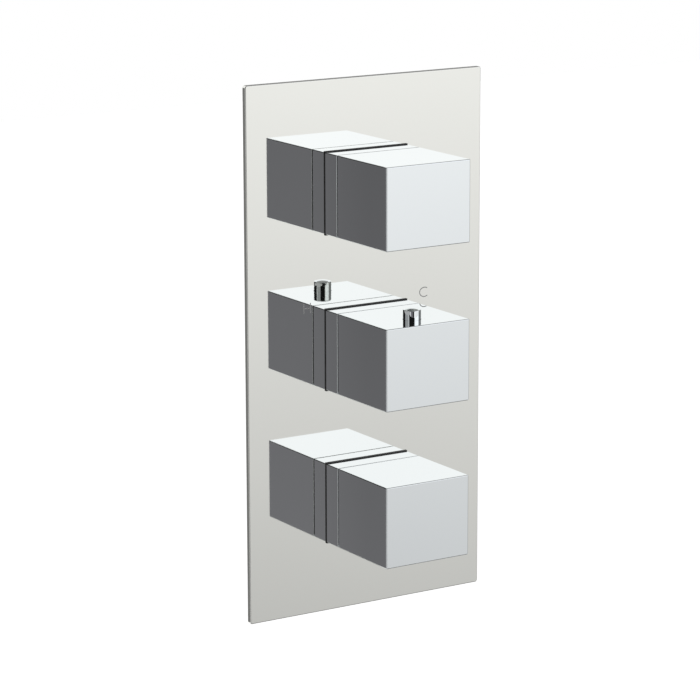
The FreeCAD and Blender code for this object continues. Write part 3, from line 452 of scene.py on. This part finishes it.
@dataclass(frozen=True)
class Moulded(Finish):
    """Moulded plastic or lapped ceramic with very fine texture and slight shade drift."""

    grain: float = 0.00002
    grain_scale: float = 2500.0
    drift_scale: float = 90.0

    def looks(self, paint: Painter) -> dict[str, object]:
        """Grain as relief and shade drift as colour.

        Args:
            paint: the material's node tree.

        Returns:
            Shader inputs by name.
        """
        drift = paint.noise(self.drift_scale, 3.0)
        darker = tuple(channel * 0.88 for channel in self.colour)
        return {
            "Base Color": paint.mixed(drift.span(0.35, 0.65), rgba(self.colour), rgba(darker)),
            "Roughness": drift.span(0.3, 0.7, self.roughness, self.roughness + 0.08),
            "Normal": paint.bump(paint.noise(self.grain_scale, 2.0), self.grain),
        }

    def fixed(self) -> dict[str, object]:
        """Plastic's usual gloss."""
        return {"IOR": 1.49}


PLATE = MirrorMetal("polished_plate_steel", (0.835, 0.838, 0.80), 0.018, wave=0.000045, wave_scale=7.0)
CHROME = MirrorMetal("bright_chrome", (0.86, 0.895, 0.91), 0.012, wave=0.000006, smear=0.012)
MARK = Moulded("etched_mark", (0.34, 0.34, 0.34), 0.55)
CAST = CastBrass("cast_brass", (0.66, 0.46, 0.20), 0.42)
TURNED = TurnedMetal("turned_brass", (0.80, 0.62, 0.30), 0.22)
THREAD = TurnedMetal("threaded_brass", (0.83, 0.66, 0.34), 0.18, ring_pitch=0.0005)
ZINC = ZincSheet("zinc_sheet", (0.52, 0.54, 0.56), 0.32)
STAINLESS = TurnedMetal("stainless_wire", (0.62, 0.62, 0.61), 0.2, tarnish=(0.45, 0.45, 0.44))
COPPER = TurnedMetal("copper_capsule", (0.80, 0.42, 0.26), 0.2, tarnish=(0.42, 0.20, 0.12))
RUBBER = Rubber("sealing_rubber", (0.014, 0.014, 0.015), 0.5)
FOAM = CellFoam("sealing_foam", (0.018, 0.018, 0.019), 0.72)
# The strainer's dark tarnish colour is painted shadow in the openings of its weave, not tarnish.
STRAINER = WireMesh("strainer_wire", (0.62, 0.62, 0.60), 0.25, tarnish=(0.05, 0.05, 0.05))
CERAMIC = Moulded("lapped_ceramic", (0.83, 0.83, 0.80), 0.12, grain=0.000002)
DARK_PLASTIC = Moulded("dark_acetal", (0.035, 0.037, 0.04), 0.38)
WHITE_PLASTIC = Moulded("white_acetal", (0.78, 0.78, 0.75), 0.36)

SLOT_FINISH = {
    "polished_steel": PLATE,
    "chrome": CHROME,
    "brass": TURNED,
    "zinc_steel": ZINC,
    "stainless": STAINLESS,
    "black_rubber": RUBBER,
    "ceramic": CERAMIC,
    "plastic": DARK_PLASTIC,
    "white_plastic": WHITE_PLASTIC,
    "copper": COPPER,
}
NODE_FINISH = {"valve_body": CAST, "plate_seal": FOAM, "hot_filter": STRAINER, "cold_filter": STRAINER}


# ---- mesh building -------------------------------------------------------------------------------


@dataclass
class Piece:
    """One mesh under construction, in the valve's frame."""

    name: str
    finish: Finish
    slot: str
    body: str = "root"
    vertices: list[Vector] = field(default_factory=list)
    faces: list[tuple[int, ...]] = field(default_factory=list)

    def add(self, points: Iterable[Vector], faces: Iterable[Sequence[int]]) -> None:
        """Append points and faces that count from the first of those points.

        Args:
            points: the points.
            faces: each face as numbers of its points.
        """
        first = len(self.vertices)
        self.vertices += [Vector(point) for point in points]
        self.faces += [tuple(first + n for n in face) for face in faces]

    def loft(self, rings: Sequence[Sequence[Vector]]) -> None:
        """Skin a row of rings with as many points each, and cap its ends.

        Args:
            rings: the rings in order.
        """
        count = len(rings[0])
        faces = []
        for n in range(len(rings) - 1):
            low, high = n * count, (n + 1) * count
            for k in range(count):
                m = (k + 1) % count
                faces.append((low + k, low + m, high + m, high + k))
        faces.append(tuple(reversed(range(count))))
        faces.append(tuple((len(rings) - 1) * count + k for k in range(count)))
        self.add([point for ring in rings for point in ring], faces)

    def turn(self, centre: Vector, axis: Vector, outline: Sequence[tuple[float, float]], steps: int = 64) -> None:
        """Skin a lathe-turned form.

        Args:
            centre: a point on its axis.
            axis: the direction of its axis.
            outline: radius and place along the axis, from one end to the other.
            steps: how many faces go round it.
        """
        axis = axis.normalized()
        side = axis.orthogonal().normalized()
        up = axis.cross(side)
        turns = [2 * math.pi * n / steps for n in range(steps)]
        ways = [side * math.cos(turn) + up * math.sin(turn) for turn in turns]
        self.loft([[centre + axis * along + way * radius for way in ways] for radius, along in outline])

    def bar(self, low: Vector, high: Vector) -> None:
        """Add a bar with these lowest and highest corners."""
        outline = ((low.x, low.y), (high.x, low.y), (high.x, high.y), (low.x, high.y))
        self.loft([[Vector((x, y, z)) for x, y in outline] for z in (low.z, high.z)])

    def build(self, smooth_angle: float = 40.0) -> bpy.types.Object:
        """Make the object, dress it, and let it ride on its body.

        Args:
            smooth_angle: edges sharper than this many degrees stay sharp.

        Returns:
            The finished object.
        """
        mesh = bpy.data.meshes.new(self.name)
        mesh.from_pydata([tuple(v) for v in self.vertices], [], self.faces)
        edit = bmesh.new()
        edit.from_mesh(mesh)
        bmesh.ops.recalc_face_normals(edit, faces=edit.faces)
        for edge in edit.edges:
            edge.smooth = not edge.is_manifold or edge.calc_face_angle() < math.radians(smooth_angle)
        for face in edit.faces:
            face.smooth = True
        edit.to_mesh(mesh)
        edit.free()
        made = bpy.data.objects.new(self.name, mesh)
        bpy.context.scene.collection.objects.link(made)
        mesh.materials.append(self.finish.material())
        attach(made, self.body)
        log.info("%s: %d faces", self.name, len(mesh.polygons))
        return made


# ---- the plate's marks ---------------------------------------------------------------------------


@dataclass
class PlateMarks:
    """Hot and cold marks etched on the plate either side of the temperature handle."""

    mark_height: float = 5.8 * MM
    hot_width: float = 4.7 * MM
    cold_width: float = 6.8 * MM
    stroke: float = 0.5 * MM
    skin: float = 0.03 * MM
    hot_place: tuple[float, float] = (-38.3 * MM, 24.8 * MM)
    cold_place: tuple[float, float] = (38.6 * MM, 25.6 * MM)
    arc_steps: int = 40
    arc_gap: float = 104.0

    def ribbon(self, piece: Piece, path: Sequence[tuple[float, float]], front: float) -> None:
        """Lay a flat stroke along a path on the plate.

        Args:
            piece: the mesh that it joins.
            path: its middle line, in X and Z.
            front: the plate front's Y.
        """
        rings = []
        for n, (x, z) in enumerate(path):
            before, after = path[max(n - 1, 0)], path[min(n + 1, len(path) - 1)]
            way = Vector((after[0] - before[0], 0, after[1] - before[1])).normalized()
            side = Vector((-way.z, 0, way.x)) * self.stroke / 2
            lift = Vector((0, -self.skin, 0))
            middle = Vector((x, front, z))
            rings.append([middle - side, middle + side, middle + side + lift, middle - side + lift])
        piece.loft(rings)

    def hot(self, front: float) -> bpy.types.Object:
        """The mark for hot: two uprights and a bar.

        Args:
            front: the plate front's Y.

        Returns:
            The finished mark.
        """
        piece = Piece("hot_mark", MARK, "black_rubber")
        x, z = self.hot_place
        half_width, half_height = (self.hot_width - self.stroke) / 2, self.mark_height / 2
        for side in (-1, 1):
            upright = x + side * half_width
            self.ribbon(piece, [(upright, z - half_height), (upright, z + half_height)], front)
        inner = half_width - self.stroke / 2
        self.ribbon(piece, [(x - inner, z), (x + inner, z)], front)
        return piece.build()

    def cold(self, front: float) -> bpy.types.Object:
        """The mark for cold: an open arc.

        Args:
            front: the plate front's Y.

        Returns:
            The finished mark.
        """
        piece = Piece("cold_mark", MARK, "black_rubber")
        x, z = self.cold_place
        width, height = (self.cold_width - self.stroke) / 2, (self.mark_height - self.stroke) / 2
        first, last = math.radians(self.arc_gap / 2), math.radians(360 - self.arc_gap / 2)
        turns = [first + (last - first) * n / self.arc_steps for n in range(self.arc_steps + 1)]
        self.ribbon(piece, [(x + width * math.cos(t), z + height * math.sin(t)) for t in turns], front)
        return piece.build()


# ---- the override button -------------------------------------------------------------------------


@dataclass
class OverrideButton:
    """The chromed pin on the temperature handle: domed head, guiding flange, stem and arm."""

    head_radius: float = 5.0 * MM
    head_edge: float = 0.55 * MM
    dome_rise: float = 0.75 * MM
    dome_steps: int = 8
    pole_radius: float = 0.01 * MM
    flange_top: float = 19.35 * MM
    flange_margin: float = 1.3 * MM
    flange_thickness: float = 1.2 * MM
    stem_radius: float = 2.0 * MM
    arm_width: float = 5.0 * MM
    arm_thickness: float = 1.6 * MM
    arm_overlap: float = 0.05 * MM
    round_steps: int = 96

    def crown(self, top: float) -> list[tuple[float, float]]:
        """The head's outline from its rounded edge to the middle of its dome.

        Args:
            top: the height of the dome's middle.

        Returns:
            Radius and height of each point.
        """
        rim = self.head_radius - self.head_edge
        shoulder = top - self.dome_rise - self.head_edge
        turns = [math.pi / 2 * n / self.dome_steps for n in range(self.dome_steps)]
        edge = [(rim + self.head_edge * math.cos(t), shoulder + self.head_edge * math.sin(t)) for t in turns]
        shares = [1 - n / self.dome_steps for n in range(self.dome_steps + 1)]
        dome = [(rim * share + self.pole_radius, top - self.dome_rise * share**2) for share in shares]
        return edge + dome

    def build(self) -> bpy.types.Object:
        """Make the pin in place of the plain solid.

        Returns:
            The finished pin.
        """
        low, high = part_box("override_button")
        flange_radius = self.head_radius + self.flange_margin
        flange_bottom = self.flange_top - self.flange_thickness
        centre = Vector((0, low.y + flange_radius, 0))
        outline = [
            (self.pole_radius, low.z),
            (self.stem_radius, low.z),
            (self.stem_radius, flange_bottom),
            (flange_radius, flange_bottom),
            (flange_radius, self.flange_top),
            (self.head_radius, self.flange_top),
            *self.crown(high.z),
        ]
        piece = Piece("override_pin", CHROME, "chrome", "button_body")
        piece.turn(centre, Vector((0, 0, 1)), outline, self.round_steps)
        half = self.arm_width / 2
        piece.bar(
            Vector((-half, low.y, flange_bottom - self.arm_thickness)),
            Vector((half, high.y, flange_bottom + self.arm_overlap)),
        )
        pin = piece.build(smooth_angle=35)
        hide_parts("override_button")
        return pin


# ---- screw threads -------------------------------------------------------------------------------


@dataclass
class ScrewThread:
    """A helical ridge on a round wall."""

    name: str
    centre: Vector
    axis: Vector
    wall: float
    height: float
    start: float
    length: float
    pitch: float
    finish: Finish = THREAD
    slot: str = "brass"
    steps: int = 40
    foot_share: float = 0.42
    crest_share: float = 0.08
    bite: float = 0.1 * MM

    def build(self) -> bpy.types.Object:
        """Sweep the ridge; a negative height stands inwards, as in a port.

        Returns:
            The finished thread.
        """
        piece = Piece(self.name, self.finish, self.slot)
        axis = self.axis.normalized()
        side = axis.orthogonal().normalized()
        up = axis.cross(side)
        turns = self.length / self.pitch - 1
        count = int(turns * self.steps)
        sunk = self.wall - math.copysign(self.bite, self.height)
        foot, flat = self.pitch * self.foot_share, self.pitch * self.crest_share
        rings = []
        for n in range(count + 1):
            turn = 2 * math.pi * n / self.steps
            fade = min(1.0, n / self.steps, (count - n) / self.steps)
            out = side * math.cos(turn) + up * math.sin(turn)
            along = self.start + self.pitch * (turn / (2 * math.pi) + 0.5)
            crest = self.wall + self.height * fade
            section = ((sunk, -foot), (crest, -flat), (crest, flat), (sunk, foot))
            rings.append([self.centre + out * radius + axis * (along + shift) for radius, shift in section])
        piece.loft(rings)
        return piece.build(smooth_angle=25)


@dataclass
class BrassBody:
    """What the casting has beyond its plain form: threads in its ports and on its sleeves."""

    port_wall: float = 9.3 * MM
    port_depth: float = 13.0 * MM
    thread_pitch: float = 1.814 * MM
    thread_height: float = 0.45 * MM
    thread_start: float = 0.4 * MM
    thread_margin: float = 1.2 * MM
    sleeve_pitch: float = 1.0 * MM
    sleeve_thread_height: float = 0.3 * MM
    sleeve_start: float = 1.0 * MM
    sleeve_margin: float = 2.0 * MM

    def ports(self) -> None:
        """A thread in each of the four ports."""
        for mount in frame["record"]["mounts"]:
            if mount["kind"] != "threaded_hole":
                continue
            axis = Vector(mount["axis"])
            mouth = Vector(mount["pos_m"]) + axis * self.port_depth / 2
            ScrewThread(
                f"{mount['name']}_thread", mouth, -axis, self.port_wall, -self.thread_height,
                self.thread_start, self.port_depth - self.thread_margin, self.thread_pitch,
            ).build()

    def sleeves(self) -> None:
        """The outside thread of each sleeve, between the casting and the plate."""
        plate_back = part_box("plate_seal")[1].y
        for name in ("top", "middle", "bottom"):
            low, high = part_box(f"{name}_sleeve")
            centre = (low + high) / 2
            centre.y = high.y
            ScrewThread(
                f"{name}_sleeve_thread", centre, Vector((0, -1, 0)), (high.x - low.x) / 2,
                self.sleeve_thread_height, self.sleeve_start, high.y - plate_back - self.sleeve_margin,
                self.sleeve_pitch,
            ).build()


# ---- dressing the solids -------------------------------------------------------------------------


def dress_nodes() -> None:
    """Give every carried-over solid the finish of its slot, or its own."""
    for row in frame["record"]["subparts"]:
        node = frame["nodes"][row["node"]]
        finish = NODE_FINISH.get(row["node"], SLOT_FINISH[row["material_slot"]])
        node.data.materials.clear()
        node.data.materials.append(finish.material())
        log.info("%s: %s", row["node"], finish.name)


# ---- studio and camera ---------------------------------------------------------------------------


@dataclass
class Card:
    """A reflector or flag round the valve: it shapes reflections and isn't seen itself.

    Attributes:
        heading: its direction from the valve in degrees, 0 straight ahead and positive to the right.
        distance: how far it stands from the valve.
        low, high: the heights of its foot and its top.
        width: its width.
        glow_low, glow_high: its brightness at foot and top.
        tint: its colour.
        side_glow: where across it an extra glow starts and ends, and how strong that becomes.
    """

    name: str
    heading: float
    distance: float
    low: float
    high: float
    width: float
    glow_low: float
    glow_high: float
    tint: Colour = (1.0, 1.0, 1.0)
    side_glow: tuple[float, float, float] = (0.0, 0.0, 0.0)

    def corners(self) -> list[Vector]:
        """The card's corners, standing upright and facing the valve.

        Returns:
            The four corners in order round it.
        """
        turn = math.radians(self.heading)
        foot = Vector((math.sin(turn), -math.cos(turn), 0)) * self.distance
        side = Vector((math.cos(turn), math.sin(turn), 0)) * self.width / 2
        low, high = Vector((0, 0, self.low)), Vector((0, 0, self.high))
        return [foot - side + low, foot + side + low, foot + side + high, foot - side + high]

    def glow(self, paint: Painter) -> Signal:
        """A glow that changes from the card's foot to its top, and rises towards its right-hand side.

        Args:
            paint: the material's node tree.

        Returns:
            The strength of the glow.
        """
        across, away, height = paint.parts(paint.place())
        turn = math.radians(self.heading)
        start, end, extra = self.side_glow
        rise = (across * math.cos(turn) + away * math.sin(turn)).span(start, max(end, start + MM), 0.0, extra)
        return height.span(self.low, self.high, self.glow_low, self.glow_high) + rise

    def build(self) -> None:
        """Make the card, seen by mirrors alone."""
        mesh = bpy.data.meshes.new(self.name)
        mesh.from_pydata([tuple(corner) for corner in self.corners()], [], [(0, 1, 2, 3)])
        card = bpy.data.objects.new(self.name, mesh)
        bpy.context.scene.collection.objects.link(card)
        material = bpy.data.materials.new(self.name)
        material.use_nodes = True
        paint = Painter(material.node_tree)
        glow = self.glow(paint)
        light = paint.node("ShaderNodeEmission", inputs={"Color": rgba(self.tint), "Strength": glow})
        paint.node("ShaderNodeOutputMaterial", inputs={"Surface": light})
        mesh.materials.append(material)
        for ray in ("camera", "diffuse", "shadow", "transmission", "volume_scatter"):
            setattr(card, f"visible_{ray}", False)


@dataclass
class Sheet(Card):
    """A level card over or under the valve, which its rounded rims mirror."""

    def corners(self) -> list[Vector]:
        """The card's corners, level and centred in front of the valve.

        Returns:
            The four corners in order round it.
        """
        half = self.width / 2
        turn = math.radians(self.heading)
        middle = Vector((math.sin(turn), -math.cos(turn), 0)) * self.distance + Vector((0, 0, self.high))
        return [middle + Vector((x * half, y * half, 0)) for x, y in ((-1, -1), (1, -1), (1, 1), (-1, 1))]


@dataclass
class Studio:
    """Pale floor, white surroundings, one large soft light and the cards that the metal mirrors."""

    floor_height: float = -1.15
    floor_side: float = 16.0
    floor_colour: Colour = (0.92, 0.92, 0.92)
    floor_roughness: float = 0.9
    floor_glow: float = 0.5
    ambient: float = 0.62
    key_heading: float = 32.0
    key_lift: float = 13.0
    key_distance: float = 2.3
    key_size: tuple[float, float] = (1.7, 1.1)
    key_radiance: float = 1.2
    cards: tuple[Card, ...] = (
        Card("front_right_card", 33.0, 2.0, -0.95, -0.02, 1.7, 0.52, 1.04),
        Card(
            "front_left_flag", -32.5, 2.0, -0.95, 0.02, 0.75, 0.194, 0.125,
            tint=(1.03, 1.0, 1.08), side_glow=(0.0, 0.07, 0.03),
        ),
        Card("key_card", 32.5, 2.4, 0.02, 1.25, 1.9, 1.28, 1.15, (0.99, 1.0, 1.035)),
        Card("front_left_hood", -32.5, 2.02, 0.02, 1.4, 2.7, 0.01, 0.01),
        Card("front_low_flag", -13.0, 2.05, -0.95, 0.02, 0.69, 0.03, 0.03),
        Card("left_low_card", -84.0, 2.05, -0.95, 0.02, 3.0, 0.42, 0.42),
        Card("left_card", -102.0, 2.0, 0.02, 1.4, 2.4, 0.36, 0.3),
        Card("back_left_flag", -147.5, 1.6, -0.9, 0.05, 0.8, 0.2, 0.2),
        Card("right_card", 79.0, 2.3, -0.95, 1.2, 1.9, 0.2, 0.2),
        Card("back_right_card", 132.0, 2.0, -0.95, 1.2, 2.6, 0.24, 0.24),
        Sheet("ceiling", 0.0, 1.0, 1.5, 1.5, 5.0, 0.36, 0.36),
        Sheet("under_card", 0.0, 0.3, -0.92, -0.92, 2.4, 0.2, 0.2),
    )

    def seen(self, paint: Painter) -> Signal:
        """1 for rays from the camera, a mirror or glass, and 0 for light that falls on things.

        Args:
            paint: the node tree to work in.

        Returns:
            The mask.
        """
        path = paint.node("ShaderNodeLightPath").socket.node.outputs
        camera, glossy, glass = (
            Signal(paint, path[name]) for name in ("Is Camera Ray", "Is Glossy Ray", "Is Transmission Ray")
        )
        return camera.larger(glossy).larger(glass)

    def surroundings(self) -> None:
        """White where it is seen and softer where it lights."""
        world = bpy.data.worlds.new("surroundings")
        world.use_nodes = True
        bpy.context.scene.world = world
        paint = Painter(world.node_tree)
        strength = self.seen(paint) * (1 - self.ambient) + self.ambient
        light = paint.node("ShaderNodeBackground", inputs={"Color": (1, 1, 1, 1), "Strength": strength})
        paint.node("ShaderNodeOutputWorld", inputs={"Surface": light})

    def floor(self) -> None:
        """A pale floor that still takes a soft shadow."""
        half = self.floor_side / 2
        corners = [(-half, -half), (half, -half), (half, half), (-half, half)]
        mesh = bpy.data.meshes.new("floor")
        mesh.from_pydata([(x, y, self.floor_height) for x, y in corners], [], [(0, 1, 2, 3)])
        floor = bpy.data.objects.new("floor", mesh)
        bpy.context.scene.collection.objects.link(floor)
        material = bpy.data.materials.new("floor")
        material.use_nodes = True
        paint = Painter(material.node_tree)
        inputs = {
            "Base Color": rgba(self.floor_colour),
            "Roughness": self.floor_roughness,
            "Emission Color": (1, 1, 1, 1),
            "Emission Strength": self.seen(paint) * self.floor_glow,
        }
        surface = paint.node("ShaderNodeBsdfPrincipled", inputs=inputs)
        paint.node("ShaderNodeOutputMaterial", inputs={"Surface": surface})
        mesh.materials.append(material)

    def key_light(self) -> None:
        """The large soft light above and to the right; mirrors see the key card in its place."""
        lamp = bpy.data.lights.new("key_light", "AREA")
        lamp.shape = "RECTANGLE"
        lamp.size, lamp.size_y = self.key_size
        lamp.energy = self.key_radiance * math.pi * self.key_size[0] * self.key_size[1]
        turn, lift = math.radians(self.key_heading), math.radians(self.key_lift)
        out = Vector((math.sin(turn) * math.cos(lift), -math.cos(turn) * math.cos(lift), math.sin(lift)))
        light = bpy.data.objects.new("key_light", lamp)
        light.location = out * self.key_distance
        light.rotation_euler = out.to_track_quat("Z", "Y").to_euler()
        light.visible_camera = light.visible_glossy = False
        bpy.context.scene.collection.objects.link(light)

    def build(self) -> None:
        """Set up everything round the valve."""
        self.surroundings()
        self.floor()
        self.key_light()
        for card in self.cards:
            card.build()
        bpy.context.scene.view_settings.view_transform = "Standard"


@dataclass
class PhotoCamera:
    """The photograph's viewpoint, measured from the plate's front on the middle handle's axis."""

    place: tuple[float, float, float] = (-876.72 * MM, -1386.05 * MM, 363.65 * MM)
    yaw: float = 31.9987
    pitch: float = -12.6075
    roll: float = -0.1539
    focal_pixels: float = 3019.6

    def build(self) -> None:
        """Make the camera and choose it."""
        yaw, pitch, roll = (math.radians(angle) for angle in (self.yaw, self.pitch, self.roll))
        ahead = Vector((math.sin(yaw) * math.cos(pitch), math.cos(yaw) * math.cos(pitch), math.sin(pitch)))
        level = Vector((math.cos(yaw), -math.sin(yaw), 0))
        over = level.cross(ahead)
        right = level * math.cos(roll) + over * math.sin(roll)
        data = bpy.data.cameras.new("photo_camera")
        data.sensor_width = SENSOR
        data.lens = self.focal_pixels * SENSOR / PHOTO_SIDE
        camera = bpy.data.objects.new("photo_camera", data)
        turn = Matrix((right, right.cross(ahead), -ahead)).transposed().to_4x4()
        plate_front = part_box("face_plate")[0].y
        camera.matrix_world = Matrix.Translation(Vector(self.place) + Vector((0, plate_front, 0))) @ turn
        bpy.context.scene.collection.objects.link(camera)
        bpy.context.scene.camera = camera


def main() -> None:
    """Build the studio and the camera, dress the solids and add the fine pieces."""
    logging.basicConfig(level=logging.INFO, format="%(name)s: %(message)s")
    PhotoCamera().build()
    Studio().build()
    dress_nodes()
    plate_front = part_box("face_plate")[0].y
    marks = PlateMarks()
    marks.hot(plate_front)
    marks.cold(plate_front)
    OverrideButton().build()
    brass = BrassBody()
    brass.ports()
    brass.sleeves()


if __name__ == "__main__":
    main()
